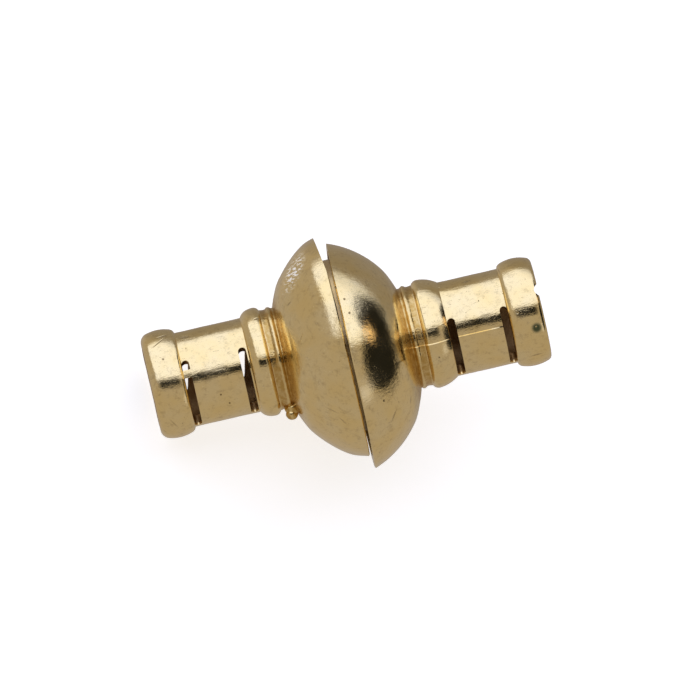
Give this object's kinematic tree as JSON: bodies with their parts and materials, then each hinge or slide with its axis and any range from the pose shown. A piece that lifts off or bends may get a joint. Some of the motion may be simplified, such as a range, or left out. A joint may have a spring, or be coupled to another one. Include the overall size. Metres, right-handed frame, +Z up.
{
  "type": "magnetic clasp",
  "caption": "Closed magnetic clasp for thick cord: domed halves face to face, each with a slotted tube, an end bead and a blind bore that takes the cord.",
  "frame": {"origin": "on the table under the middle of the closed clasp, which lies on the left bead and the two rims", "axes": "+X along the clasp towards the half with the recess, whose end stands clear of the table; +Z up; the axis climbs about 18 degrees from the table towards +X"},
  "size_m": [0.0182, 0.0106, 0.0097],
  "materials": {
    "gold_plate": "polished gold plate over a slightly wavy casting, with pits and a little tarnish",
    "magnet": "plain bright nickel plate, lightly scuffed"
  },
  "bodies": {
    "boss_side": {"boss_half": "gold_plate", "boss_magnet": "magnet"},
    "socket_core": {"socket_magnet": "magnet"},
    "socket_side": {"socket_half": "gold_plate"}
  },
  "joints": [
    {"name": "pull_apart", "type": "slide", "parent": "boss_side", "child": "socket_core", "axis": [0.9536, 0, 0.3012], "range_m": [0, 0.012], "stiffness_N_per_m": 2, "springref_m": -0.02},
    {"name": "swivel", "type": "hinge", "parent": "socket_core", "child": "socket_side", "pos_m": [0.00007, -0.0002, 0.00483], "axis": [0.9536, 0, 0.3012], "continuous": true}
  ]
}
